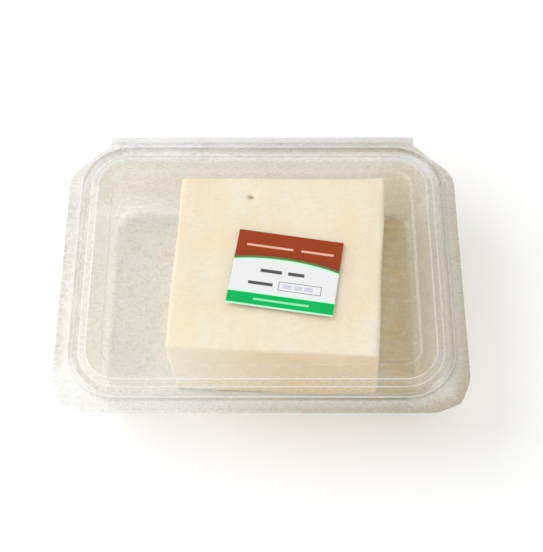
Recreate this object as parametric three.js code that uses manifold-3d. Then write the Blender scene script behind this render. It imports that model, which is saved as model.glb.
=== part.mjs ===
// A block of tofu in a shut, clear, hinged tray with a paper sticker on the lid.
// Millimetres, +Z up. The origin is the middle of the tray's underside, and +Y points to the hinge.
import * as THREE from 'three';
import { mergeVertices } from 'three/addons/utils/BufferGeometryUtils.js';
import Module from 'manifold-3d';

const wasm = await Module();
wasm.setup();

// ---- Driving dimensions ----
const sheet = 0.5; // wall of the moulded tray and lid
const gap = 0.3; // clearance between neighbouring pieces
const flangeHalfX = 98;
const flangeHalfY = 77.2;
const flangeRearY = 74.2; // the flange stops here beside the hinge
const partingZ = 40; // where the two flanges meet
const cornerRadius = 31; // of the flange rectangle, before any inset
const smallestRadius = 6;
const cornerSteps = 10;

const beadInset = 5.6; // the lid's snap step, in from the flange edge
const beadTopZ = 43.5;
const ridgeOuterInset = 11.8; // foot of the lid's raised rim
const ridgeInnerInset = 14.9;
const ridgeTopZ = 45.4;
const panelInset = 22.4; // the lid's sunken middle, which a stacked pack sits in
const panelTopZ = 44.2;

const baseInset = 18.6; // the tray's walls lean in by this much at the bottom
const baseRound = 4.6; // between wall and bottom

const hingeHalfX = 78.4;
const foldY = 79;
const foldBulge = 1.9; // how far the hinge's roll stands up and down from the parting plane

const tofuSeat = 0.1;
const tofuHeight = 42;
const tofuTop = [[-40.6, 52], [62.6, 52.3], [55.1, -49.5], [-45.9, -44.3]]; // corners, rear left first
const tofuLean = [2.8, -2.4]; // how far the bottom is shifted, because the block was cut out of true
const tofuWave = 0.35;
const tofuCells = [12, 12, 6];

const labelSize = [52, 42, 0.2];
const labelCentre = [11.5, -4.6];
const labelTurn = -9.1; // degrees
const labelCorner = 0.6;
const labelSeat = 0.05;

// ---- Materials ----
const clearPlastic = { color: 0xe6e3dc, roughness: 0.15, metalness: 0, transparent: true, opacity: 0.35 };
const looks = {
  tray: new THREE.MeshStandardMaterial(clearPlastic),
  lid: new THREE.MeshStandardMaterial(clearPlastic),
  tofu: new THREE.MeshStandardMaterial({ color: 0xf4e6c8, roughness: 0.55, metalness: 0 }),
  label: new THREE.MeshStandardMaterial({ color: 0xf0f0ee, roughness: 0.6, metalness: 0 }),
};

// ---- Outlines ----
// The flange's own edge has cut-off corners, longer at the hinge than at the front.
function flangeCorner(rear) {
  const path = new THREE.Path();
  if (rear) {
    path.moveTo(flangeHalfX, 40);
    path.quadraticCurveTo(flangeHalfX - 0.3, 51, flangeHalfX - 3.4, 58);
    path.lineTo(hingeHalfX + 1.6, flangeRearY);
  } else {
    path.moveTo(flangeHalfX, -57);
    path.quadraticCurveTo(flangeHalfX, -62.5, flangeHalfX - 3.2, -67.2);
    path.lineTo(flangeHalfX - 6.6, -72.8);
    path.quadraticCurveTo(flangeHalfX - 9, -flangeHalfY, flangeHalfX - 14, -flangeHalfY);
  }
  return path.getSpacedPoints(cornerSteps).map((p) => [p.x, p.y]);
}

// Anticlockwise from above, starting at the rear right corner.
function flangeRing(z) {
  const rear = flangeCorner(true);
  const front = flangeCorner(false);
  const mirrored = (corner) => corner.map(([x, y]) => [-x, y]);
  const outline = [...rear, ...mirrored(rear).reverse(), ...mirrored(front), ...front.slice().reverse()];
  return outline.map(([x, y]) => new THREE.Vector3(x, y, z));
}

function insetRing(inset, z) {
  const halfX = flangeHalfX - inset;
  const halfY = flangeHalfY - inset;
  const radius = Math.max(cornerRadius - inset, smallestRadius);
  const ring = [];
  for (let quarter = 0; quarter < 4; quarter++) {
    const signX = quarter === 0 || quarter === 3 ? 1 : -1;
    const signY = quarter < 2 ? 1 : -1;
    for (let step = 0; step <= cornerSteps; step++) {
      const angle = (quarter + step / cornerSteps) * Math.PI / 2;
      const x = signX * (halfX - radius) + radius * Math.cos(angle);
      const y = signY * (halfY - radius) + radius * Math.sin(angle);
      ring.push(new THREE.Vector3(x, y, z));
    }
  }
  return ring;
}

// ---- Moulded sheet ----
// A profile is a list of [inset, z] from the flange edge to the middle. This is the same line one wall lower.
function underside(profile) {
  const normals = [];
  for (let i = 1; i < profile.length; i++) {
    const run = new THREE.Vector2(profile[i][0] - profile[i - 1][0], profile[i][1] - profile[i - 1][1]);
    run.normalize();
    normals.push(new THREE.Vector2(run.y, -run.x));
  }
  return profile.map(([inset, z], i) => {
    const before = normals[Math.max(i - 1, 0)];
    const after = normals[Math.min(i, normals.length - 1)];
    const mitre = before.clone().add(after).multiplyScalar(sheet / (1 + before.dot(after)));
    return [inset + mitre.x, z + mitre.y];
  });
}

function addStrip(triangles, outer, inner, up) {
  for (let i = 0; i < outer.length; i++) {
    const next = (i + 1) % outer.length;
    const quad = [outer[i], outer[next], inner[next], inner[i]];
    if (!up) quad.reverse();
    triangles.push(quad[0], quad[1], quad[2], quad[0], quad[2], quad[3]);
  }
}

function addCap(triangles, ring, up) {
  const flat = ring.map((p) => new THREE.Vector2(p.x, p.y));
  for (const [a, b, c] of THREE.ShapeUtils.triangulateShape(flat, [])) {
    triangles.push(...(up ? [ring[a], ring[b], ring[c]] : [ring[c], ring[b], ring[a]]));
  }
}

function mouldedSheet(profile) {
  const rings = (line) => line.map(([inset, z], i) => (i === 0 ? flangeRing(z) : insetRing(inset, z)));
  const top = rings(profile);
  const bottom = rings(underside(profile));
  const triangles = [];
  for (let i = 1; i < profile.length; i++) {
    addStrip(triangles, top[i - 1], top[i], true);
    addStrip(triangles, bottom[i - 1], bottom[i], false);
  }
  addStrip(triangles, bottom[0], top[0], true);
  addCap(triangles, top.at(-1), true);
  addCap(triangles, bottom.at(-1), false);
  return new THREE.BufferGeometry().setFromPoints(triangles);
}

// Half of the rolled living hinge, from the flange to the fold. side is 1 for the lid and -1 for the tray.
function hingeRoll(side) {
  const near = gap / 2;
  const outer = [[flangeRearY - 2, near + sheet], [flangeRearY, near + sheet]];
  const inner = [[flangeRearY - 2, near], [flangeRearY + 0.6, near]];
  const middleY = (flangeRearY + 0.4 + foldY) / 2;
  const halfWidth = foldY - middleY;
  const steps = 8;
  for (let i = 1; i <= steps; i++) {
    const angle = Math.PI * (1 - i / steps);
    const rise = Math.sin(angle);
    const lowest = i === steps ? near : near + sheet;
    outer.push([middleY + halfWidth * Math.cos(angle), lowest + (foldBulge - near - sheet) * rise]);
    inner.push([middleY + (halfWidth - sheet) * Math.cos(angle), near + (foldBulge - near - sheet) * rise]);
  }
  const outline = [...outer, ...inner.reverse()].map(([y, z]) => new THREE.Vector2(y, partingZ + side * z));
  const roll = new THREE.ExtrudeGeometry(new THREE.Shape(outline), {
    depth: 2 * hingeHalfX, steps: 1, bevelEnabled: false,
  });
  roll.translate(0, 0, -hingeHalfX);
  const axes = [new THREE.Vector3(0, 1, 0), new THREE.Vector3(0, 0, 1), new THREE.Vector3(1, 0, 0)];
  return roll.applyMatrix4(new THREE.Matrix4().makeBasis(...axes));
}

// ---- Joining ----
function toSolid(geometry) {
  const bare = geometry.clone();
  bare.deleteAttribute('normal');
  bare.deleteAttribute('uv');
  const merged = mergeVertices(bare, 1e-4);
  const vertProperties = Float32Array.from(merged.attributes.position.array);
  const triVerts = Uint32Array.from(merged.index.array);
  return new wasm.Manifold(new wasm.Mesh({ numProp: 3, vertProperties, triVerts }));
}

function toGeometry(solid) {
  const mesh = solid.getMesh();
  const geometry = new THREE.BufferGeometry();
  geometry.setAttribute('position', new THREE.BufferAttribute(mesh.vertProperties, 3));
  geometry.setIndex(new THREE.BufferAttribute(mesh.triVerts, 1));
  return geometry;
}

// ---- The pieces ----
function makeLid() {
  const flangeTop = partingZ + gap / 2 + sheet;
  const profile = [
    [0, flangeTop],
    [beadInset, flangeTop],
    [beadInset + 0.35, beadTopZ - 0.5],
    [beadInset + 0.8, beadTopZ],
    [ridgeOuterInset, beadTopZ + 0.15],
    [ridgeInnerInset - 0.7, ridgeTopZ - 0.3],
    [ridgeInnerInset + 0.3, ridgeTopZ],
    [panelInset - 0.9, ridgeTopZ],
    [panelInset - 0.2, ridgeTopZ - 0.3],
    [panelInset + 0.5, panelTopZ],
  ];
  return toSolid(mouldedSheet(profile)).add(toSolid(hingeRoll(1)));
}

function makeTray() {
  const flangeTop = partingZ - gap / 2;
  const beadTop = beadTopZ - sheet - 0.45;
  const profile = [
    [0, flangeTop],
    [beadInset + 0.85, flangeTop],
    [beadInset + 1.2, beadTop - 0.4],
    [beadInset + 1.6, beadTop],
    [beadInset + 3.6, beadTop],
    [beadInset + 4.2, beadTop - 0.5],
  ];
  const steps = 4;
  for (let i = 0; i <= steps; i++) {
    const angle = (i / steps) * Math.PI / 2;
    const inset = baseInset - 0.7 + baseRound * (1 - Math.cos(angle));
    profile.push([inset, sheet + baseRound * (1 - Math.sin(angle))]);
  }
  profile.push([baseInset + baseRound + 3, sheet]);
  return toSolid(mouldedSheet(profile)).add(toSolid(hingeRoll(-1)));
}

// A point of the block: u runs left to right, v from the front to the rear and w from the bottom up.
function tofuPoint(u, v, w) {
  const [rearLeft, rearRight, frontRight, frontLeft] = tofuTop;
  const across = (i) => THREE.MathUtils.lerp(
    THREE.MathUtils.lerp(frontLeft[i], frontRight[i], u),
    THREE.MathUtils.lerp(rearLeft[i], rearRight[i], u),
    v,
  );
  const lean = 1 - w;
  const inside = Math.min(w, 1 - w) * 4;
  const wavy = tofuWave * Math.min(inside, 1);
  const x = across(0) + tofuLean[0] * lean + wavy * Math.sin(9 * v + 4 * w) * (2 * u - 1);
  const y = across(1) + tofuLean[1] * lean + wavy * Math.sin(8 * u + 3 * w) * (2 * v - 1);
  const dish = w === 1 ? tofuWave * Math.sin(5 * u) * Math.sin(4 * v) : 0;
  return new THREE.Vector3(x, y, sheet + tofuSeat + tofuHeight * w - Math.abs(dish));
}

function makeTofu() {
  const box = new THREE.BoxGeometry(1, 1, 1, ...tofuCells);
  const place = box.attributes.position;
  for (let i = 0; i < place.count; i++) {
    const spot = tofuPoint(place.getX(i) + 0.5, place.getY(i) + 0.5, place.getZ(i) + 0.5);
    place.setXYZ(i, spot.x, spot.y, spot.z);
  }
  return toSolid(box);
}

function makeLabel() {
  const [width, height, thick] = labelSize;
  const halfX = width / 2;
  const halfY = height / 2;
  const shape = new THREE.Shape();
  shape.moveTo(halfX - labelCorner, -halfY);
  shape.quadraticCurveTo(halfX, -halfY, halfX, -halfY + labelCorner);
  shape.lineTo(halfX, halfY - labelCorner);
  shape.quadraticCurveTo(halfX, halfY, halfX - labelCorner, halfY);
  shape.lineTo(-halfX + labelCorner, halfY);
  shape.quadraticCurveTo(-halfX, halfY, -halfX, halfY - labelCorner);
  shape.lineTo(-halfX, -halfY + labelCorner);
  shape.quadraticCurveTo(-halfX, -halfY, -halfX + labelCorner, -halfY);
  const slab = new THREE.ExtrudeGeometry(shape, { depth: thick, curveSegments: 3, bevelEnabled: false });
  return toSolid(slab);
}

// ---- Assembly ----
const pack = new THREE.Group();
const pieces = { tray: makeTray(), lid: makeLid(), tofu: makeTofu(), label: makeLabel() };
for (const [name, solid] of Object.entries(pieces)) {
  const mesh = new THREE.Mesh(toGeometry(solid), looks[name]);
  mesh.name = name;
  pack.add(mesh);
}
const label = pack.getObjectByName('label');
label.position.set(...labelCentre, panelTopZ + labelSeat);
label.rotation.z = THREE.MathUtils.degToRad(labelTurn);

export default pack;
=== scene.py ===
# %% [markdown]
# # A block of tofu in a clear hinged tray
# A thin clear tray and its lid are pressed from one sheet and joined by a rolled hinge. A hand-cut block
# of tofu lies inside, and a paper sticker lies on the lid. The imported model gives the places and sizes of
# the four pieces. Here each is made again with its real thin walls, soft bends, cut marks and printed
# bands.

# %% Load the frame
import math
import random

import bmesh
import bpy
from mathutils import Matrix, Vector


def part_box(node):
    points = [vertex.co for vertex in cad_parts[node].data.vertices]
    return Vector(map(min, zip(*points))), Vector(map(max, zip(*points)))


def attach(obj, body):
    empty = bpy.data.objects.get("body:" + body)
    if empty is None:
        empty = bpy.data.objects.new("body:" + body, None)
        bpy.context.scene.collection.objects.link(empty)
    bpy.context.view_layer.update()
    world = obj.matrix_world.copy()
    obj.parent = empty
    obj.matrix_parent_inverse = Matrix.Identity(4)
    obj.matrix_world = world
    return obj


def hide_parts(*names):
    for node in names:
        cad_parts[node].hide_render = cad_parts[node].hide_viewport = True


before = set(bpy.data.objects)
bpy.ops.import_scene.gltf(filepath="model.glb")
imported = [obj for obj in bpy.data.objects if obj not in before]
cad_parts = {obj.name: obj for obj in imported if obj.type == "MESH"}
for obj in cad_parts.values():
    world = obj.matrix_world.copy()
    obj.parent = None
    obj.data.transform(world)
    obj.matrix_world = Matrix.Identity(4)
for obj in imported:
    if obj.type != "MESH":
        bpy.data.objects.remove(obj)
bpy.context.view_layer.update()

MM = 0.001
tray_low, tray_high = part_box("tray")
lid_low, lid_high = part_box("lid")
tofu_low, tofu_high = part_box("tofu")
label_low, label_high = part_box("label")

# %% [markdown]
# ## Working by hand in code
# Every operator acts on what is selected. So one helper opens a piece for editing with nothing selected,
# and one selects vertices by their place. Lengths are written in millimetres and turned into metres at
# the last step.

# %% Helpers for editing
def only(piece):
    """Selects one object and makes it the active one."""
    bpy.ops.object.select_all(action="DESELECT")
    piece.select_set(True)
    bpy.context.view_layer.objects.active = piece


def open_piece(piece):
    only(piece)
    bpy.ops.object.mode_set(mode="EDIT")
    bpy.ops.mesh.select_mode(type="VERT")
    bpy.ops.mesh.select_all(action="DESELECT")


def close_piece():
    bpy.ops.object.mode_set(mode="OBJECT")


def select_points(piece, test):
    """Selects the vertices of the open piece whose place, in millimetres, passes the test."""
    bpy.ops.mesh.select_mode(type="VERT")
    bpy.ops.mesh.select_all(action="DESELECT")
    mesh = bmesh.from_edit_mesh(piece.data)
    found = 0
    for vertex in mesh.verts:
        if test(vertex.co / MM):
            vertex.select_set(True)
            found += 1
    mesh.select_flush(True)
    bmesh.update_edit_mesh(piece.data)
    return found


def apply_modifier(piece, kind, **settings):
    only(piece)
    modifier = piece.modifiers.new(kind.title(), kind)
    for key, value in settings.items():
        setattr(modifier, key, value)
    bpy.ops.object.modifier_apply(modifier=modifier.name)


def count(piece):
    return sum(len(face.vertices) - 2 for face in piece.data.polygons)


# %% [markdown]
# ## The camera
# The pack is seen from the front and well above, from arm's length, with a slightly long lens, so that
# its sides run together only a little towards the rear.

# %% Camera
ELEVATION = math.radians(60)
DISTANCE = 0.6276
FLANGE_Z = lid_low.z + 0.05 * MM
AIM = Vector((4.77 * MM, -4.34 * MM, FLANGE_Z))
camera_data = bpy.data.cameras.new("camera")
camera_data.lens = 83.53
camera = bpy.data.objects.new("camera", camera_data)
bpy.context.scene.collection.objects.link(camera)
camera.location = AIM + DISTANCE * Vector((0, -math.cos(ELEVATION), math.sin(ELEVATION)))
camera.rotation_euler = (math.pi / 2 - ELEVATION, 0, 0)
bpy.context.scene.camera = camera
print("camera at", [round(v, 3) for v in camera.location], "m")

# %% [markdown]
# ## Outline of the flange
# The rim of the pack is a flat rectangle with cut-off corners, longer at the hinge. It could be drawn
# point by point, but a plane whose corners are bevelled twice is quicker to change: the first bevel makes
# the cut, and the second softens it.

# %% Flange outline
HALF_X = lid_high.x / MM
FRONT_Y = lid_low.y / MM
HALF_Y = -FRONT_Y
FLANGE_REAR_Y = 74.2
HINGE_HALF_X = 78.4
FRONT_CUT = 16.5
REAR_SOFTENING = 5
FRONT_SOFTENING = 2.2
EDGE_STEP = 8


def add_plane(name, low_x, high_x, low_y, high_y, z):
    bpy.ops.object.select_all(action="DESELECT")
    middle = ((low_x + high_x) / 2 * MM, (low_y + high_y) / 2 * MM, z * MM)
    bpy.ops.mesh.primitive_plane_add(size=1, location=middle)
    piece = bpy.context.object
    piece.name = piece.data.name = name
    piece.scale = ((high_x - low_x) * MM, (high_y - low_y) * MM, 1)
    bpy.ops.object.transform_apply(location=True, rotation=True, scale=True)
    return piece


def round_corners(piece, test, cut, segments):
    select_points(piece, test)
    bpy.ops.mesh.bevel(offset=cut * MM, affect="VERTICES", segments=segments, profile=0.5)


def remove_filling():
    """Leaves only the outline of the open piece, because cutting the edges of a face also cuts the face."""
    bpy.ops.mesh.select_mode(type="FACE")
    bpy.ops.mesh.select_all(action="SELECT")
    bpy.ops.mesh.delete(type="ONLY_FACE")


def turn_faces_up(piece):
    """Makes the open piece's faces look upwards, whichever way they were made."""
    mesh = bmesh.from_edit_mesh(piece.data)
    mesh.normal_update()
    if sum(face.normal.z * face.calc_area() for face in mesh.faces) < 0:
        bpy.ops.mesh.select_all(action="SELECT")
        bpy.ops.mesh.flip_normals()


def divide_long_edges(piece, step):
    """Gives the straight edges a vertex every few millimetres, so that bridged rings match and can bend."""
    bpy.ops.mesh.select_mode(type="EDGE")
    while True:
        bpy.ops.mesh.select_all(action="DESELECT")
        mesh = bmesh.from_edit_mesh(piece.data)
        long_edges = [edge for edge in mesh.edges if edge.calc_length() > 1.5 * step * MM]
        if not long_edges:
            break
        longest = max(edge.calc_length() for edge in long_edges)
        for edge in long_edges:
            edge.select_set(edge.calc_length() > 0.99 * longest)
        bmesh.update_edit_mesh(piece.data)
        bpy.ops.mesh.subdivide(number_cuts=max(1, round(longest / MM / step) - 1))


def flange_outline(name, z):
    piece = add_plane(name, -HALF_X, HALF_X, FRONT_Y, FLANGE_REAR_Y, z)
    open_piece(piece)
    round_corners(piece, lambda p: p.y > FLANGE_REAR_Y - 1, HALF_X - HINGE_HALF_X, 1)
    round_corners(piece, lambda p: abs(p.x) > HALF_X - 1 and p.y > 30, REAR_SOFTENING, 3)
    round_corners(piece, lambda p: p.y < 0, FRONT_CUT, 2)
    round_corners(piece, lambda p: p.y < -30, FRONT_SOFTENING, 2)
    remove_filling()
    divide_long_edges(piece, EDGE_STEP)
    close_piece()
    return piece


# %% [markdown]
# ## Pressing a sheet
# A pressed lid is a stack of parallel rings, each a little further in and at its own height. Inset does
# exactly this: it shrinks the face by an even margin and lifts it. The profile is written with sharp
# bends, and a small function rounds them, because warm sheet never folds sharply over its mould.

# %% Press a sheet from a profile
CORNER_RADIUS = 31.0
CORNER_SEGMENTS = 14


def soften(profile, radius, steps=3):
    """Replaces each inner bend of a profile by a short curve, with a flat strip kept on both sides of it."""
    points = [Vector(p) for p in profile]
    out = [points[0]]
    for before, bend, after in zip(points, points[1:], points[2:]):
        back = before - bend
        ahead = after - bend
        reach = min(radius, 0.36 * back.length, 0.36 * ahead.length)
        start = bend + back.normalized() * reach
        end = bend + ahead.normalized() * reach
        out.append(bend + back.normalized() * reach * 1.3)
        for i in range(steps + 1):
            t = i / steps
            out.append(start * (1 - t) ** 2 + bend * 2 * t * (1 - t) + end * t ** 2)
        out.append(bend + ahead.normalized() * reach * 1.3)
    out.append(points[-1])
    return out


def press_sheet(name, flange_z, profile):
    """profile runs from the inner edge of the flange to the flat middle, as (inset from the rim, height)."""
    first_inset = profile[0][0]
    half_x = HALF_X - first_inset
    half_y = HALF_Y - first_inset
    piece = add_plane(name, -half_x, half_x, -half_y, half_y, profile[0][1])
    open_piece(piece)
    round_corners(piece, lambda p: True, CORNER_RADIUS - first_inset, CORNER_SEGMENTS)
    remove_filling()
    divide_long_edges(piece, EDGE_STEP)
    bpy.ops.mesh.select_all(action="SELECT")
    bpy.ops.mesh.edge_face_add()
    turn_faces_up(piece)
    bpy.ops.mesh.select_mode(type="FACE")
    bpy.ops.mesh.select_all(action="SELECT")
    for before, after in zip(profile, profile[1:]):
        bpy.ops.mesh.inset(thickness=(after[0] - before[0]) * MM, depth=(after[1] - before[1]) * MM)
    close_piece()
    rim = flange_outline(name + "_rim", flange_z)
    only(piece)
    rim.select_set(True)
    bpy.ops.object.join()
    open_piece(piece)
    bpy.ops.mesh.select_mode(type="EDGE")
    bpy.ops.mesh.select_all(action="DESELECT")
    bpy.ops.mesh.select_non_manifold()
    bpy.ops.mesh.fill(use_beauty=True)
    close_piece()
    return piece


def grid_flat_middle(piece, inset, step):
    """Cuts the big flat face into cells, so that it can sag and carry soft waves."""
    half_x = HALF_X - inset
    half_y = HALF_Y - inset
    open_piece(piece)
    for axis, half in ((0, half_x), (1, half_y)):
        normal = [0, 0, 0]
        normal[axis] = 1
        cells = round(2 * half / step)
        for i in range(1, cells):
            middle = [0, 0, 0]
            middle[axis] = (-half + i * 2 * half / cells) * MM
            select_points(piece, lambda p: abs(p.x) < half_x + 0.1 and abs(p.y) < half_y + 0.1)
            bpy.ops.mesh.bisect(plane_co=middle, plane_no=normal)
    close_piece()


# %% [markdown]
# ## The rolled hinge
# At the rear the two halves of the pack are one sheet, folded over in a small round roll. Each half of
# the roll is made by extruding the rear edge of the flange in short steps along a half circle.

# %% Hinge roll
FOLD_Y = lid_high.y / MM
ROLL_RISE = 1.85
ROLL_STEPS = 9


def add_hinge_roll(piece, flange_z, fold_z):
    side = 1 if flange_z > fold_z else -1
    open_piece(piece)
    select_points(piece, lambda p: p.y > FLANGE_REAR_Y - 0.01)
    start = Vector((0, FLANGE_REAR_Y, flange_z))
    crease = start + Vector((0, 0.5, -0.05 * side))
    middle_y = (crease.y + FOLD_Y) / 2
    stops = [crease]
    for i in range(1, ROLL_STEPS + 1):
        angle = math.pi * (1 - i / ROLL_STEPS)
        share = i / ROLL_STEPS
        foot_z = crease.z + (fold_z - crease.z) * share ** 3
        y = middle_y + (FOLD_Y - middle_y) * math.cos(angle)
        stops.append(Vector((0, y, foot_z + side * (ROLL_RISE - 0.6) * math.sin(angle))))
    for before, after in zip([start] + stops, stops):
        bpy.ops.mesh.extrude_region_move(TRANSFORM_OT_translate={"value": (after - before) * MM})
    close_piece()


# %% [markdown]
# ## Waves in the sheet
# Thin pressed sheet is never quite flat. A very weak cloud pattern moves the finished surface up and down
# by a few tenths of a millimetre. Lid, sticker and tray rim share one pattern, so the gaps between them
# stay.

# %% Sheet wave
wave_pattern = bpy.data.textures.new("sheet_wave", "CLOUDS")
wave_pattern.noise_scale = 0.045
wave_pattern.noise_depth = 1


def wave(piece, height, floor_z=None):
    settings = {"texture": wave_pattern, "strength": height * MM, "mid_level": 0.5, "direction": "Z"}
    if floor_z is not None:
        group = piece.vertex_groups.new(name="free")
        for vertex in piece.data.vertices:
            weight = min(1, max(0, (vertex.co.z / MM - floor_z) / 12))
            group.add([vertex.index], weight, "REPLACE")
        settings["vertex_group"] = group.name
    apply_modifier(piece, "DISPLACE", **settings)
    piece.vertex_groups.clear()


FULL_BEND = math.radians(10)


def mark_bends(piece):
    """Stores on each vertex how sharply the sheet is folded. Stretched plastic turns whitish there, and the
    sheet's finish also paints a highlight along the folds.
    """
    open_piece(piece)
    mesh = bmesh.from_edit_mesh(piece.data)
    bend = mesh.verts.layers.float.new("bend")
    for vertex in mesh.verts:
        angles = [edge.calc_face_angle(0) for edge in vertex.link_edges if edge.is_manifold]
        vertex[bend] = min(1, max(angles, default=0) / FULL_BEND)
    bmesh.update_edit_mesh(piece.data)
    close_piece()


def finish_sheet(piece, wall):
    open_piece(piece)
    bpy.ops.mesh.select_all(action="SELECT")
    bpy.ops.mesh.remove_doubles(threshold=0.01 * MM)
    bpy.ops.mesh.normals_make_consistent(inside=False)
    turn_faces_up(piece)
    close_piece()
    mark_bends(piece)
    apply_modifier(piece, "SOLIDIFY", thickness=wall * MM, offset=-1)
    only(piece)
    bpy.ops.object.shade_smooth_by_angle(angle=math.radians(50))


# %% [markdown]
# ## The lid
# From the rim inwards the lid has a flat flange, a step that snaps over the tray, a flat ledge, a raised
# ridge and a sunken middle where the next pack stands. It is only four tenths of a millimetre thick.

# %% Lid
WALL = 0.4
WAVE_HEIGHT = 0.35
LID_FLANGE_Z = 40.65
PANEL_Z = 44.2
RIDGE_Z = lid_high.z / MM
LEDGE_Z = 43.5
lid_profile = soften(
    [
        (5.6, LID_FLANGE_Z),
        (5.85, LID_FLANGE_Z + 0.05),
        (6.3, LEDGE_Z),
        (11.6, LEDGE_Z + 0.15),
        (14.9, RIDGE_Z - 0.1),
        (22.3, RIDGE_Z - 0.1),
        (22.8, PANEL_Z),
        (24.5, PANEL_Z),
    ],
    0.4,
)
lid_shell = press_sheet("lid_shell", LID_FLANGE_Z, lid_profile)
add_hinge_roll(lid_shell, LID_FLANGE_Z, 40.2)
grid_flat_middle(lid_shell, lid_profile[-1][0], 6)
wave(lid_shell, WAVE_HEIGHT)
finish_sheet(lid_shell, WALL)
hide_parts("lid")
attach(lid_shell, "lid")
print("lid_shell has", count(lid_shell), "triangles")

# %% [markdown]
# ## The tray
# The tray has the same rim. Inside it rises into a narrow bead that the lid snaps over, then falls
# steeply in walls that lean inwards, and turns through a soft bend into the flat bottom.

# %% Tray
TRAY_FLANGE_Z = 39.85
BEAD_Z = tray_high.z / MM - 0.1
FLOOR_Z = 0.4
tray_profile = soften(
    [
        (6.45, TRAY_FLANGE_Z),
        (6.6, TRAY_FLANGE_Z + 0.05),
        (6.95, BEAD_Z),
        (9.3, BEAD_Z),
        (10.3, BEAD_Z - 3),
        (12.6, 29),
        (14.4, 20),
        (16.2, 11),
        (17.6, 4.2),
        (18.4, 2.2),
        (19.9, 0.9),
        (22.5, FLOOR_Z),
        (24.5, FLOOR_Z),
    ],
    1.0,
)
tray_shell = press_sheet("tray_shell", TRAY_FLANGE_Z, tray_profile)
add_hinge_roll(tray_shell, TRAY_FLANGE_Z, 39.8)
grid_flat_middle(tray_shell, tray_profile[-1][0], 8)
wave(tray_shell, WAVE_HEIGHT, floor_z=8)
finish_sheet(tray_shell, WALL)
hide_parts("tray")
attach(tray_shell, "tray")
print("tray_shell has", count(tray_shell), "triangles")

# %% [markdown]
# ## The block of tofu
# The block was cut by hand, so no side is quite square: it is wider at the rear, and its front leans out.
# A cube gets its eight corners moved to their places and its edges rounded. Remeshing then gives it small
# even cells, and cloud patterns push these in and out for the uneven cut and the soft curd.

# %% Tofu block
TOFU_TOP = {"rear_left": (-40.6, 52.5), "rear_right": (62.6, 52.7), "front_right": (55.1, -49.5),
            "front_left": (-45.9, -44.3)}
LEAN = (2.8, -2.4)


def corner_place(p):
    name = ("rear" if p.y > 0 else "front") + ("_left" if p.x < 0 else "_right")
    x, y = TOFU_TOP[name]
    if p.z < 0:
        return Vector((x + LEAN[0], y + LEAN[1], tofu_low.z / MM))
    return Vector((x, y, tofu_high.z / MM - 0.2))


bpy.ops.object.select_all(action="DESELECT")
bpy.ops.mesh.primitive_cube_add(size=1)
tofu_block = bpy.context.object
tofu_block.name = tofu_block.data.name = "tofu_block"
for vertex in tofu_block.data.vertices:
    vertex.co = corner_place(vertex.co) * MM
EDGE_ROUNDING = 1.2
CELL = 1.1
open_piece(tofu_block)
bpy.ops.mesh.select_mode(type="EDGE")
bpy.ops.mesh.select_all(action="SELECT")
bpy.ops.mesh.bevel(offset=EDGE_ROUNDING * MM, segments=4, affect="EDGES")
close_piece()
tofu_block.data.remesh_voxel_size = CELL * MM
only(tofu_block)
bpy.ops.object.voxel_remesh()
print("tofu_block has", count(tofu_block), "triangles")

# %% Uneven cut faces
CUT_MARKS = (("slow_cut", 0.038, 1.5), ("curd", 0.010, 0.5), ("pores", 0.0025, 0.12))
for name, size, height in CUT_MARKS:
    pattern = bpy.data.textures.new(name, "CLOUDS")
    pattern.noise_scale = size
    pattern.noise_depth = 1
    apply_modifier(
        tofu_block, "DISPLACE", texture=pattern, strength=height * MM, mid_level=0.55, direction="NORMAL"
    )
PIT = Vector((-5.6, 40.7))
open_piece(tofu_block)
top_z = tofu_high.z / MM - 3
for place, depth, reach in ((PIT, 1.3, 2.0), (PIT + Vector((1.4, -0.3)), 1.0, 1.4)):
    select_points(tofu_block, lambda p: p.z > top_z and (p.xy - place).length < reach / 2)
    bpy.ops.transform.translate(
        value=(0, 0, -depth * MM),
        use_proportional_edit=True,
        proportional_edit_falloff="SMOOTH",
        proportional_size=reach * MM,
    )
close_piece()
floor_z = tofu_low.z
for vertex in tofu_block.data.vertices:
    vertex.co.z = max(vertex.co.z, floor_z)
only(tofu_block)
bpy.ops.object.shade_smooth()
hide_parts("tofu")
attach(tofu_block, "tray")

# %% [markdown]
# ## The sticker
# A small rectangle of paper, stuck on by hand a few degrees out of square. It is a plane turned as a
# whole, cut into cells so that it follows the waves of the lid, and given the thickness of paper.

# %% Sticker
LABEL_SIZE = (52.0, 42.0)
LABEL_CENTRE = ((label_low.x + label_high.x) / 2, (label_low.y + label_high.y) / 2)
LABEL_TURN = math.radians(-9.1)
bpy.ops.object.select_all(action="DESELECT")
bpy.ops.mesh.primitive_grid_add(
    x_subdivisions=26, y_subdivisions=21, size=1,
    location=(*LABEL_CENTRE, (PANEL_Z + 0.16) * MM), rotation=(0, 0, LABEL_TURN),
)
sticker = bpy.context.object
sticker.name = sticker.data.name = "sticker"
sticker.scale = (LABEL_SIZE[0] * MM, LABEL_SIZE[1] * MM, 1)
bpy.ops.object.transform_apply(location=True, rotation=True, scale=True)
wave(sticker, WAVE_HEIGHT)
apply_modifier(sticker, "SOLIDIFY", thickness=0.1 * MM, offset=-1)
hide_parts("label")
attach(sticker, "lid")
print("sticker has", count(sticker), "triangles")
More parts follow.
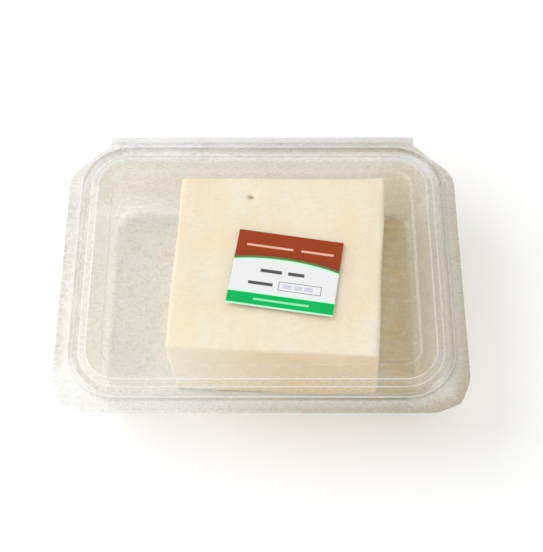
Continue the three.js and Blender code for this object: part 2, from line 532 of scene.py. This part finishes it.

# %% [markdown]
# ## Whey and dew
# Fresh tofu weeps a little. The whey lies as a thin film on the bottom of the tray, and water from the cold
# block settles as small drops. Its tint deepens towards the right, partly from the whey and partly as
# painted shade of the block. The film is a flat plate with the outline of the bottom, cut into cells and
# raised by a cloud pattern. Under the block it stays thin.

# %% Whey film
FILM_INSET = 21.5
FILM_BOTTOM = FLOOR_Z + 0.02
film_half = Vector((HALF_X - FILM_INSET, HALF_Y - FILM_INSET))
whey_film = add_plane("whey_film", -film_half.x, film_half.x, -film_half.y, film_half.y, FILM_BOTTOM + 0.1)
open_piece(whey_film)
round_corners(whey_film, lambda p: True, CORNER_RADIUS - FILM_INSET, 8)
turn_faces_up(whey_film)
close_piece()
grid_flat_middle(whey_film, FILM_INSET, 2.2)
film_pattern = bpy.data.textures.new("film_pattern", "CLOUDS")
film_pattern.noise_scale = 0.012
film_pattern.noise_depth = 2
FILM_RISE = 1.3
AROUND_BLOCK = 2


def beside_block(x, y):
    """How far a place lies outside the foot of the block, in millimetres. It is negative under the block."""
    left, right = tofu_low.x / MM - AROUND_BLOCK, tofu_high.x / MM + AROUND_BLOCK
    front, rear = tofu_low.y / MM - AROUND_BLOCK, tofu_high.y / MM + AROUND_BLOCK
    return max(left - x, x - right, front - y, y - rear)


free = whey_film.vertex_groups.new(name="free")
for vertex in whey_film.data.vertices:
    x, y = vertex.co.x / MM, vertex.co.y / MM
    outside = min(1, max(0, beside_block(x, y) / 4))
    from_edge = min(film_half.x - abs(x), film_half.y - abs(y))
    free.add([vertex.index], outside * min(1, max(0, from_edge / 3)), "REPLACE")
apply_modifier(
    whey_film, "DISPLACE",
    texture=film_pattern, strength=FILM_RISE * MM, mid_level=0.15, direction="Z", vertex_group="free",
)
whey_film.vertex_groups.clear()
open_piece(whey_film)
bpy.ops.mesh.select_all(action="SELECT")
bpy.ops.mesh.extrude_region_move(TRANSFORM_OT_translate={"value": (0, 0, -5 * MM)})
bpy.ops.transform.resize(value=(1, 1, 0))
close_piece()
deepest = min(vertex.co.z for vertex in whey_film.data.vertices)
for vertex in whey_film.data.vertices:
    if vertex.co.z < deepest + 0.1 * MM:
        vertex.co.z = FILM_BOTTOM * MM
    vertex.co.z = max(vertex.co.z, FILM_BOTTOM * MM)
open_piece(whey_film)
bpy.ops.mesh.select_all(action="SELECT")
bpy.ops.mesh.normals_make_consistent(inside=False)
close_piece()
only(whey_film)
bpy.ops.object.shade_smooth_by_angle(angle=math.radians(60))
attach(whey_film, "tray")
print("whey_film has", count(whey_film), "triangles")

# %% Drops of dew
def scatter_drops(name, how_many, seed, height, hanging):
    """Copies one flattened ball many times, each with its own size, and joins the copies."""
    chance = random.Random(seed)
    bpy.ops.object.select_all(action="DESELECT")
    bpy.ops.mesh.primitive_ico_sphere_add(subdivisions=2, radius=1)
    first = bpy.context.object
    open_piece(first)
    bpy.ops.mesh.select_all(action="SELECT")
    side = 1 if hanging else -1
    bpy.ops.mesh.bisect(plane_co=(0, 0, 0), plane_no=(0, 0, side), use_fill=True, clear_outer=True)
    close_piece()
    copies = []
    while len(copies) < how_many:
        x = chance.uniform(-film_half.x + 2, film_half.x - 2)
        y = chance.uniform(-film_half.y + 2, film_half.y - 2)
        radius = 0.28 + 0.75 * chance.random() ** 3
        over_x = tofu_low.x / MM - 1.5 < x < tofu_high.x / MM + 1.5
        over_y = tofu_low.y / MM - 1.5 < y < tofu_high.y / MM + 1.5
        if over_x and over_y:
            continue
        copy = first.copy()
        copy.data = first.data.copy()
        bpy.context.scene.collection.objects.link(copy)
        copy.location = (x * MM, y * MM, height * MM)
        copy.scale = (radius * MM, radius * MM * chance.uniform(0.8, 1.2), 0.45 * radius * MM)
        copies.append(copy)
    bpy.data.objects.remove(first)
    bpy.ops.object.select_all(action="DESELECT")
    for copy in copies:
        copy.select_set(True)
    bpy.context.view_layer.objects.active = copies[0]
    bpy.ops.object.join()
    drops = bpy.context.object
    bpy.ops.object.transform_apply(location=True, rotation=True, scale=True)
    drops.name = drops.data.name = name
    only(drops)
    bpy.ops.object.shade_smooth_by_angle(angle=math.radians(70))
    return drops


droplets = scatter_drops("droplets", 260, 7, FILM_BOTTOM + 0.45, hanging=False)
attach(droplets, "tray")
dew_on_lid = scatter_drops("dew_on_lid", 180, 8, PANEL_Z - WALL - 0.16, hanging=True)
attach(dew_on_lid, "lid")
print("droplets have", count(droplets) + count(dew_on_lid), "triangles")

# %% [markdown]
# ## Node helpers
# Each finish is a small tree of nodes that reads the object's own coordinates, so patterns stay on the
# piece when it moves.

# %% Material helpers
def new_material(name):
    material = bpy.data.materials.new(name)
    material.use_nodes = True
    material.node_tree.nodes.clear()
    return material, material.node_tree


def node(tree, kind, **settings):
    made = tree.nodes.new(kind)
    for key, value in settings.items():
        setattr(made, key, value)
    return made


def math_node(tree, operation, first, second=None, clamp=False):
    made = node(tree, "ShaderNodeMath", operation=operation, use_clamp=clamp)
    for socket, value in zip(made.inputs, (first, second)):
        if value is None:
            continue
        if isinstance(value, (int, float)):
            socket.default_value = value
        else:
            tree.links.new(value, socket)
    return made.outputs[0]


def noise(tree, vector, scale, detail=2.0, roughness=0.5, distortion=0.0):
    made = node(tree, "ShaderNodeTexNoise")
    made.inputs["Scale"].default_value = scale
    made.inputs["Detail"].default_value = detail
    made.inputs["Roughness"].default_value = roughness
    made.inputs["Distortion"].default_value = distortion
    tree.links.new(vector, made.inputs["Vector"])
    return made.outputs[0]


def ramp(tree, value, low, high, out_low=0.0, out_high=1.0):
    made = node(tree, "ShaderNodeMapRange")
    for name, number in (("From Min", low), ("From Max", high), ("To Min", out_low), ("To Max", out_high)):
        made.inputs[name].default_value = number
    tree.links.new(value, made.inputs["Value"])
    return made.outputs[0]


def blend_colours(tree, share, first, second, how="MIX"):
    made = node(tree, "ShaderNodeMix", data_type="RGBA", blend_type=how)
    for socket, value in ((made.inputs[0], share), (made.inputs[6], first), (made.inputs[7], second)):
        if isinstance(value, tuple):
            socket.default_value = value
        else:
            tree.links.new(value, socket)
    return made.outputs[2]


def in_millimetres(tree, place):
    parts = node(tree, "ShaderNodeSeparateXYZ")
    tree.links.new(place, parts.inputs[0])
    return [math_node(tree, "DIVIDE", output, MM) for output in parts.outputs]


def paint(red, green, blue):
    """A colour as a painter mixes it on screen, 0 to 255, turned into the linear values that nodes use."""
    shares = (red / 255, green / 255, blue / 255)
    linear = [c / 12.92 if c <= 0.04045 else ((c + 0.055) / 1.055) ** 2.4 for c in shares]
    return (*linear, 1.0)


# %% [markdown]
# ## Clear sheet
# Clear plastic shows what is behind it, mirrors a little more towards its edges, and here carries a thin
# uneven haze of condensation. A refracting glass shader is slow and dark in so thin a wall. So the see-
# through part is a Transparent shader, the shine is a Glossy one weighted by the viewing angle, and the
# haze is a Diffuse one. Shade is painted into the tint by place: it is darker and warmer on the inner walls
# at the right, on the rear and left walls and on the rim towards the right and front, as painted shade of
# the block and the pack. The haze is paler at the front left, as painted light. Sharp folds turn whitish,
# partly as the real whitening of stretched plastic and partly as a painted highlight along the folds.

# %% Clear sheet finish
def streaked(tree, place, along):
    """Stretches a pattern along X, so that spots become short level streaks."""
    made = node(tree, "ShaderNodeMapping")
    made.inputs["Scale"].default_value = (along, 1, 1)
    tree.links.new(place, made.inputs["Vector"])
    return made.outputs[0]


def clear_sheet(name, right_shade_tint, steep_tint, haze_colour, rim_haze, middle_haze, fold_whitening_and_highlight, shine_steep):
    """The first colour is painted shade: it darkens the inner walls at the right, where the block's shadow
    falls. rim_haze and middle_haze set how thick the haze gets there.
    """
    material, tree = new_material(name)
    place = node(tree, "ShaderNodeTexCoord").outputs["Object"]
    x, y, z = in_millimetres(tree, place)
    from_side = math_node(tree, "SUBTRACT", HALF_X, math_node(tree, "ABSOLUTE", x))
    from_end = math_node(tree, "SUBTRACT", HALF_Y, math_node(tree, "ABSOLUTE", y))
    from_rim = math_node(tree, "MINIMUM", from_side, from_end)
    # Painted shade: the inner walls at the right, where the block's shadow falls, are tinted darker and
    # warmer.
    right_shade = math_node(tree, "MULTIPLY", ramp(tree, x, 52, 72), ramp(tree, z, 18, 34, 1.0, 0.4))
    inside = math_node(tree, "MULTIPLY", right_shade, ramp(tree, z, 36, 39, 1.0, 0.0))
    # Painted shade: the rim is darkened towards the right and the front, and a little at the left end, where
    # the pack's shadow falls on the floor under it.
    on_rim = math_node(tree, "MULTIPLY", ramp(tree, z, 38.5, 39.5), ramp(tree, from_rim, 6, 14, 1.0, 0.0))
    to_the_right = math_node(tree, "MULTIPLY", ramp(tree, x, -40, 90), ramp(tree, y, -65, -20, 1.0, 0.72))
    left_end = math_node(tree, "MULTIPLY", ramp(tree, x, -80, -88, 0.0, 0.22), ramp(tree, y, -60, -45))
    rim_shade = math_node(tree, "MULTIPLY", math_node(tree, "MAXIMUM", to_the_right, left_end), on_rim)
    rim_shade_tone = blend_colours(tree, rim_shade, paint(254, 254, 254), paint(240, 236, 228))
    face_on = blend_colours(tree, inside, rim_shade_tone, right_shade_tint)
    # Painted shade: the rear wall and the left wall are darkened a little.
    above_bend = math_node(tree, "MAXIMUM", ramp(tree, z, 0, 16), ramp(tree, x, 40, 60, 0.0, 0.95))
    rear_wall_shade = math_node(tree, "MULTIPLY", ramp(tree, y, 49, 54), above_bend)
    wall = math_node(tree, "MAXIMUM", rear_wall_shade, ramp(tree, x, -74, -80, 0.0, 0.5))
    wall = math_node(tree, "MULTIPLY", wall, ramp(tree, z, 36, 39, 1.0, 0.0))
    face_on = blend_colours(tree, wall, face_on, paint(245, 242, 236), how="MULTIPLY")
    patches = noise(tree, place, 60, 1.0, 0.6)
    grain = noise(tree, streaked(tree, place, 0.65), 620, 2.0, 0.65, 0.4)
    mottle = math_node(tree, "MULTIPLY", ramp(tree, patches, 0.3, 0.65, 0.35), ramp(tree, grain, 0.38, 0.68))
    thickest = ramp(tree, from_rim, 14, 23, rim_haze, middle_haze)
    mist = math_node(tree, "MULTIPLY", math_node(tree, "ADD", mottle, 0.12), thickest)
    # Folds near the rim are whitened: partly the real whitening of stretched plastic, partly a painted
    # highlight along the fold lines.
    bend = node(tree, "ShaderNodeAttribute", attribute_name="bend").outputs["Fac"]
    near_rim = ramp(tree, from_rim, 17, 21, 1.0, 0.25)
    upper = math_node(tree, "MULTIPLY", ramp(tree, z, 30, 38), near_rim)
    upper = math_node(tree, "MULTIPLY", upper, fold_whitening_and_highlight)
    fold_white_and_highlight = math_node(tree, "MULTIPLY", math_node(tree, "POWER", bend, 1.5), upper)
    haze = math_node(tree, "ADD", mist, fold_white_and_highlight, clamp=True)
    slant = node(tree, "ShaderNodeLayerWeight")
    slant.inputs["Blend"].default_value = 0.5
    facing = slant.outputs["Facing"]
    see = node(tree, "ShaderNodeBsdfTransparent")
    steepness = math_node(tree, "POWER", facing, 2.5)
    tree.links.new(blend_colours(tree, steepness, face_on, steep_tint), see.inputs["Color"])
    scatter = node(tree, "ShaderNodeBsdfDiffuse")
    # Painted light: the haze is paler at the front left.
    front_left = math_node(tree, "MULTIPLY", ramp(tree, y, -45, -62), ramp(tree, x, 20, -60))
    haze_tone = blend_colours(tree, front_left, haze_colour, paint(236, 235, 231))
    fold_share = math_node(tree, "DIVIDE", fold_white_and_highlight, math_node(tree, "ADD", haze, 0.001), clamp=True)
    tree.links.new(blend_colours(tree, fold_share, haze_tone, paint(252, 252, 251)), scatter.inputs["Color"])
    body = node(tree, "ShaderNodeMixShader")
    tree.links.new(haze, body.inputs[0])
    tree.links.new(see.outputs[0], body.inputs[1])
    tree.links.new(scatter.outputs[0], body.inputs[2])
    shine = node(tree, "ShaderNodeBsdfGlossy")
    shine.inputs["Color"].default_value = (1, 1, 1, 1)
    shine.inputs["Roughness"].default_value = 0.12
    share = math_node(tree, "MULTIPLY_ADD", math_node(tree, "POWER", facing, 4.0), shine_steep)
    share.node.inputs[2].default_value = 0.025
    top = node(tree, "ShaderNodeMixShader")
    tree.links.new(share, top.inputs[0])
    tree.links.new(body.outputs[0], top.inputs[1])
    tree.links.new(shine.outputs[0], top.inputs[2])
    out = node(tree, "ShaderNodeOutputMaterial")
    tree.links.new(top.outputs[0], out.inputs["Surface"])
    return material


# The first colour of each sheet is the painted shade of its inner walls at the right.
lid_finish = clear_sheet(
    "lid_sheet", paint(253, 251, 247), paint(218, 216, 212), paint(204, 201, 196),
    rim_haze=0.34, middle_haze=0.04, fold_whitening_and_highlight=0.34, shine_steep=0.5,
)
tray_finish = clear_sheet(
    "tray_sheet", paint(248, 244, 233), paint(240, 238, 232), paint(232, 229, 218),
    rim_haze=0.20, middle_haze=0.16, fold_whitening_and_highlight=0.22, shine_steep=0.35,
)
lid_shell.data.materials.append(lid_finish)
tray_shell.data.materials.append(tray_finish)

# %% [markdown]
# ## Whey finish
# Whey is nearly clear and faintly yellow. A film of it tints what lies under it, and its ripples catch the
# light. Its tint grows darker and warmer towards the right, partly from the whey and partly as painted shade
# of the block. At the right faint pale crests run across it, made with a Wave texture.

# %% Whey finish
def whey_finish(name, thin, deep_and_shaded, shine_share, ripple, foam_share=0.0):
    """thin is the colour at the left and along the edges; the other colour is that of the pool at the right,
    darker partly as painted shade of the block.
    """
    material, tree = new_material(name)
    place = node(tree, "ShaderNodeTexCoord").outputs["Object"]
    x, y, _ = in_millimetres(tree, place)
    ripples = noise(tree, streaked(tree, place, 0.4), 300, 2.0, 0.6, 1.2)
    from_side = math_node(tree, "SUBTRACT", film_half.x, math_node(tree, "ABSOLUTE", x))
    from_end = math_node(tree, "SUBTRACT", film_half.y, math_node(tree, "ABSOLUTE", y))
    inner = math_node(tree, "MULTIPLY", ramp(tree, from_side, 0, 5), ramp(tree, from_end, 0, 5))
    # Darker and warmer towards the right: partly the whey pool, partly painted shade of the block.
    depth = math_node(tree, "MULTIPLY", ramp(tree, x, -45, 66), inner)
    depth = math_node(tree, "MULTIPLY", depth, ramp(tree, ripples, 0.35, 0.65, 1.15, 0.15))
    see = node(tree, "ShaderNodeBsdfTransparent")
    tree.links.new(blend_colours(tree, depth, thin, deep_and_shaded), see.inputs["Color"])
    bands = node(tree, "ShaderNodeTexWave", wave_type="BANDS", bands_direction="Y")
    for socket, value in (("Scale", 55), ("Distortion", 7.0), ("Detail", 2), ("Detail Scale", 130)):
        bands.inputs[socket].default_value = value
    tree.links.new(place, bands.inputs["Vector"])
    crests = math_node(tree, "MULTIPLY", ramp(tree, bands.outputs["Fac"], 0.62, 1.0), ramp(tree, x, 56, 64))
    foam = node(tree, "ShaderNodeBsdfDiffuse")
    foam.inputs["Color"].default_value = paint(244, 236, 216)
    pool = node(tree, "ShaderNodeMixShader")
    tree.links.new(math_node(tree, "MULTIPLY", crests, foam_share), pool.inputs[0])
    tree.links.new(see.outputs[0], pool.inputs[1])
    tree.links.new(foam.outputs[0], pool.inputs[2])
    bump = node(tree, "ShaderNodeBump")
    bump.inputs["Strength"].default_value = ripple
    bump.inputs["Distance"].default_value = 0.6 * MM
    tree.links.new(ripples, bump.inputs["Height"])
    shine = node(tree, "ShaderNodeBsdfGlossy")
    shine.inputs["Color"].default_value = (1, 1, 1, 1)
    shine.inputs["Roughness"].default_value = 0.08
    tree.links.new(bump.outputs[0], shine.inputs["Normal"])
    cover = node(tree, "ShaderNodeMixShader")
    cover.inputs[0].default_value = shine_share
    tree.links.new(pool.outputs[0], cover.inputs[1])
    tree.links.new(shine.outputs[0], cover.inputs[2])
    out = node(tree, "ShaderNodeOutputMaterial")
    tree.links.new(cover.outputs[0], out.inputs["Surface"])
    return material


# The second colour of each finish darkens the right side, partly as painted shade of the block.
whey = whey_finish(
    "whey", paint(255, 255, 254), paint(255, 250, 235), shine_share=0.05, ripple=1.0, foam_share=0.18
)
dew = whey_finish("dew", paint(250, 249, 246), paint(248, 246, 240), shine_share=0.16, ripple=0.1)
whey_film.data.materials.append(whey)
droplets.data.materials.append(dew)
dew_on_lid.data.materials.append(dew)

# %% [markdown]
# ## Tofu finish
# Fresh tofu is warm white and lets some light in, so it has soft shadows. Its cut faces show faint
# streaks from the blade and slightly darker patches where the curd is denser. The front face has its own
# tone, painted lighter at the left and darker towards the right: painted light and shade.

# %% Tofu finish
def tofu_finish():
    material, tree = new_material("tofu_curd")
    place = node(tree, "ShaderNodeTexCoord").outputs["Object"]
    stretch = node(tree, "ShaderNodeMapping")
    stretch.inputs["Scale"].default_value = (1.0, 0.16, 1.0)
    tree.links.new(place, stretch.inputs["Vector"])
    streaks = noise(tree, stretch.outputs[0], 75, 3, 0.6)
    patches = noise(tree, place, 30, 2, 0.5, 0.4)
    curd = noise(tree, place, 900, 3, 0.7)
    tone = math_node(tree, "MULTIPLY", math_node(tree, "ADD", streaks, patches), 0.5)
    colour = blend_colours(tree, ramp(tree, tone, 0.39, 0.57), paint(254, 233, 201), paint(255, 241, 218))
    x, y, _ = in_millimetres(tree, place)
    left_x, left_y = TOFU_TOP["front_left"]
    right_x, right_y = TOFU_TOP["front_right"]
    front_slope = (right_y - left_y) / (right_x - left_x)
    front_line = math_node(tree, "MULTIPLY_ADD", math_node(tree, "SUBTRACT", x, left_x), front_slope)
    front_line.node.inputs[2].default_value = left_y
    before_front = math_node(tree, "SUBTRACT", front_line, y)
    # Painted light and shade on the front face: lighter at the left, darker towards the right.
    front_light_and_shade = blend_colours(tree, ramp(tree, x, -46, 10), paint(255, 246, 228), paint(240, 216, 176))
    colour = blend_colours(tree, ramp(tree, before_front, -0.8, 0.4, 0.0, 0.85), colour, front_light_and_shade)
    pit = node(tree, "ShaderNodeMapping")
    pit.inputs["Location"].default_value = (-PIT.x * MM, -PIT.y * MM, 0)
    tree.links.new(place, pit.inputs["Vector"])
    flat = node(tree, "ShaderNodeVectorMath", operation="MULTIPLY")
    flat.inputs[1].default_value = (1, 1.5, 0)
    tree.links.new(pit.outputs[0], flat.inputs[0])
    far = node(tree, "ShaderNodeVectorMath", operation="LENGTH")
    tree.links.new(flat.outputs[0], far.inputs[0])
    spot = ramp(tree, far.outputs["Value"], 0.9 * MM, 2.2 * MM, 0.75, 0.0)
    colour = blend_colours(tree, spot, colour, paint(176, 150, 104))
    shader = node(tree, "ShaderNodeBsdfPrincipled")
    tree.links.new(colour, shader.inputs["Base Color"])
    tree.links.new(ramp(tree, curd, 0.3, 0.7, 0.38, 0.62), shader.inputs["Roughness"])
    shader.inputs["Subsurface Weight"].default_value = 0.35
    shader.inputs["Subsurface Radius"].default_value = (1.0, 0.8, 0.5)
    shader.inputs["Subsurface Scale"].default_value = 3.5 * MM
    bump = node(tree, "ShaderNodeBump")
    bump.inputs["Strength"].default_value = 0.35
    bump.inputs["Distance"].default_value = 0.25 * MM
    tree.links.new(curd, bump.inputs["Height"])
    tree.links.new(bump.outputs[0], shader.inputs["Normal"])
    out = node(tree, "ShaderNodeOutputMaterial")
    tree.links.new(shader.outputs[0], out.inputs["Surface"])
    return material


tofu_block.data.materials.append(tofu_finish())

# %% [markdown]
# ## Sticker print
# The print is plain fields of colour: a red-brown head with an arched lower edge, a green line under it,
# a white middle, and a green foot. Three grey bars and a box with three small fields stand on the middle,
# and pale bars on the head and the foot. No words are printed. Each field is a test on the sticker's own
# coordinates, turned square with a Mapping node.

# %% Sticker print
def sticker_print():
    material, tree = new_material("sticker_print")
    place = node(tree, "ShaderNodeTexCoord").outputs["Object"]
    square = node(tree, "ShaderNodeMapping", vector_type="TEXTURE")
    square.inputs["Location"].default_value = (*LABEL_CENTRE, 0)
    square.inputs["Rotation"].default_value = (0, 0, LABEL_TURN)
    tree.links.new(place, square.inputs["Vector"])
    parts = node(tree, "ShaderNodeSeparateXYZ")
    tree.links.new(square.outputs[0], parts.inputs[0])
    x = math_node(tree, "DIVIDE", parts.outputs[0], MM)
    y = math_node(tree, "DIVIDE", parts.outputs[1], MM)

    def between(value, low, high, soft=0.12):
        rising = ramp(tree, value, low - soft, low + soft)
        falling = ramp(tree, value, high - soft, high + soft, 1.0, 0.0)
        return math_node(tree, "MULTIPLY", rising, falling)

    def bar(low_x, high_x, low_y, high_y):
        return math_node(tree, "MULTIPLY", between(x, low_x, high_x), between(y, low_y, high_y))

    from_crown = math_node(tree, "ABSOLUTE", math_node(tree, "DIVIDE", math_node(tree, "ADD", x, 2.0), 26.0))
    arch = math_node(tree, "MULTIPLY", math_node(tree, "POWER", from_crown, 2.2), -2.9)
    height = math_node(tree, "SUBTRACT", y, math_node(tree, "ADD", arch, 6.6))
    white = paint(228, 228, 229)
    colour = blend_colours(tree, ramp(tree, height, -2.2, -0.3), white, paint(205, 246, 219))
    colour = blend_colours(tree, ramp(tree, height, -0.2, 0.1), colour, paint(70, 150, 84))
    colour = blend_colours(tree, ramp(tree, height, 0.1, 1.7), colour, paint(134, 60, 34))
    colour = blend_colours(tree, ramp(tree, height, 1.5, 4.5), colour, paint(152, 62, 28))
    foot = math_node(tree, "SUBTRACT", -13.9, y)
    colour = blend_colours(tree, ramp(tree, foot, -1.8, -0.2), colour, paint(200, 246, 216))
    colour = blend_colours(tree, ramp(tree, foot, -0.2, 0.1), colour, paint(8, 176, 90))
    colour = blend_colours(tree, ramp(tree, y, -20.2, -19.9, 1.0, 0.0), colour, paint(190, 244, 208))
    grey = paint(86, 84, 86)
    for place_of_bar in ((-12, -1.5, -1.7, 0.2), (1.5, 9.5, -1.7, 0.2), (-17, -5, -9.0, -7.2)):
        colour = blend_colours(tree, bar(*place_of_bar), colour, grey)
    box_outside = bar(-2.2, 18.8, -10.6, -5.6)
    box_inside = bar(-1.9, 18.5, -10.3, -5.9)
    frame_share = math_node(tree, "SUBTRACT", box_outside, box_inside, clamp=True)
    colour = blend_colours(tree, frame_share, colour, paint(90, 88, 96))
    for left in (0.2, 5.4, 10.6):
        field = math_node(tree, "MULTIPLY", bar(left, left + 4, -9.2, -7.0), 0.35)
        colour = blend_colours(tree, field, colour, paint(140, 140, 190))
    pale = paint(232, 178, 154)
    for place_of_bar in ((-21, 2, 12.4, 13.6), (6, 22, 12.4, 13.6)):
        colour = blend_colours(tree, bar(*place_of_bar), colour, pale)
    colour = blend_colours(tree, bar(-13, 14, -17.6, -16.4), colour, paint(140, 232, 172))
    shader = node(tree, "ShaderNodeBsdfPrincipled")
    tree.links.new(colour, shader.inputs["Base Color"])
    shader.inputs["Specular IOR Level"].default_value = 0.12
    fibres = noise(tree, place, 1500, 2)
    tree.links.new(ramp(tree, fibres, 0.3, 0.7, 0.4, 0.6), shader.inputs["Roughness"])
    bump = node(tree, "ShaderNodeBump")
    bump.inputs["Strength"].default_value = 0.15
    bump.inputs["Distance"].default_value = 0.05 * MM
    tree.links.new(fibres, bump.inputs["Height"])
    tree.links.new(bump.outputs[0], shader.inputs["Normal"])
    out = node(tree, "ShaderNodeOutputMaterial")
    tree.links.new(shader.outputs[0], out.inputs["Surface"])
    return material


def paper_back():
    material, tree = new_material("paper_back")
    place = node(tree, "ShaderNodeTexCoord").outputs["Object"]
    fibres = noise(tree, place, 900, 3)
    shader = node(tree, "ShaderNodeBsdfPrincipled")
    tree.links.new(
        blend_colours(tree, ramp(tree, fibres, 0.3, 0.7), paint(222, 220, 214), paint(236, 235, 231)),
        shader.inputs["Base Color"],
    )
    shader.inputs["Roughness"].default_value = 0.7
    out = node(tree, "ShaderNodeOutputMaterial")
    tree.links.new(shader.outputs[0], out.inputs["Surface"])
    return material


sticker.data.materials.append(sticker_print())
sticker.data.materials.append(paper_back())
for face in sticker.data.polygons:
    face.material_index = 1 if face.normal.z < -0.5 else 0

# %% [markdown]
# ## Floor and light
# A pale floor under a white sky, which gives most of the light. A large soft lamp at the left throws the
# shadow of the block to the right, and a weak lamp at the front lifts the front face.

# %% Floor and light
bpy.ops.object.select_all(action="DESELECT")
bpy.ops.mesh.primitive_plane_add(size=6, location=(0, 0, -0.2 * MM))
floor = bpy.context.object
floor.name = "floor"
floor_material, floor_tree = new_material("floor_pale")
floor_shader = node(floor_tree, "ShaderNodeBsdfPrincipled")
floor_shader.inputs["Base Color"].default_value = (0.98, 0.98, 0.98, 1)
floor_shader.inputs["Roughness"].default_value = 0.9
floor_out = node(floor_tree, "ShaderNodeOutputMaterial")
floor_tree.links.new(floor_shader.outputs[0], floor_out.inputs["Surface"])
floor.data.materials.append(floor_material)

SKY_STRENGTH = 0.80
WINDOW_POWER = 15
FILL_POWER = 3
world = bpy.data.worlds.new("soft_sky")
world.use_nodes = True
world.node_tree.nodes["Background"].inputs["Color"].default_value = (0.99, 0.995, 1, 1)
world.node_tree.nodes["Background"].inputs["Strength"].default_value = SKY_STRENGTH
bpy.context.scene.world = world


def add_area_lamp(name, place, size, power):
    data = bpy.data.lights.new(name, "AREA")
    data.size = size
    data.energy = power
    data.color = (1, 0.995, 0.985)
    lamp = bpy.data.objects.new(name, data)
    bpy.context.scene.collection.objects.link(lamp)
    lamp.location = place
    lamp.rotation_euler = (Vector((0, 0, 0.03)) - lamp.location).to_track_quat("-Z", "Y").to_euler()


add_area_lamp("left_window", Vector((-1.2, 0.3, 1.05)), 1.5, WINDOW_POWER)
add_area_lamp("front_fill", Vector((-0.7, -1.2, 0.5)), 1.0, FILL_POWER)
bpy.context.scene.view_settings.view_transform = "Standard"
bpy.context.scene.cycles.transparent_max_bounces = 32
